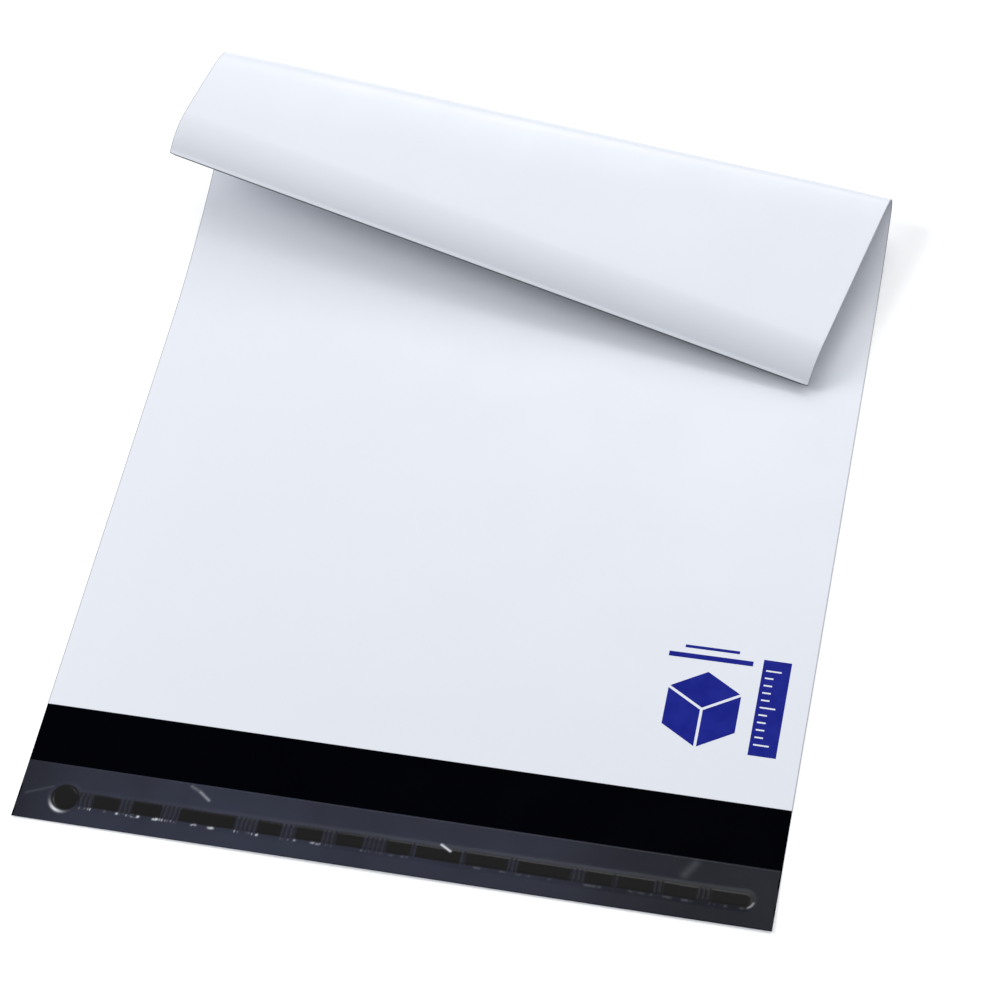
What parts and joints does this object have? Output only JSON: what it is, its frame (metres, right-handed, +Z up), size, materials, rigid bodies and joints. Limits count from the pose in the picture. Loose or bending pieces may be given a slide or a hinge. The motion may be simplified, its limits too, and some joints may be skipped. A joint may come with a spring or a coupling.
{
  "type": "poly mailer bag",
  "caption": "Flat plastic mailing bag with its self-seal flap opened out and its closed end rolled up and over.",
  "frame": {"origin": "on the underside of the flat film, below the middle of the mouth", "axes": "+Z up from the surface the bag lies on, +Y from the mouth towards the rolled closed end, +X across the bag to the right"},
  "size_m": [0.319, 0.3703, 0.0404],
  "materials": {
    "film": "satin white outside, gloss black inside",
    "adhesive": "tacky clear amber",
    "liner": "satin dark grey"
  },
  "bodies": {
    "root": {"bag_film": "film", "adhesive_bead": "adhesive", "release_liner": "liner"}
  },
  "joints": []
}
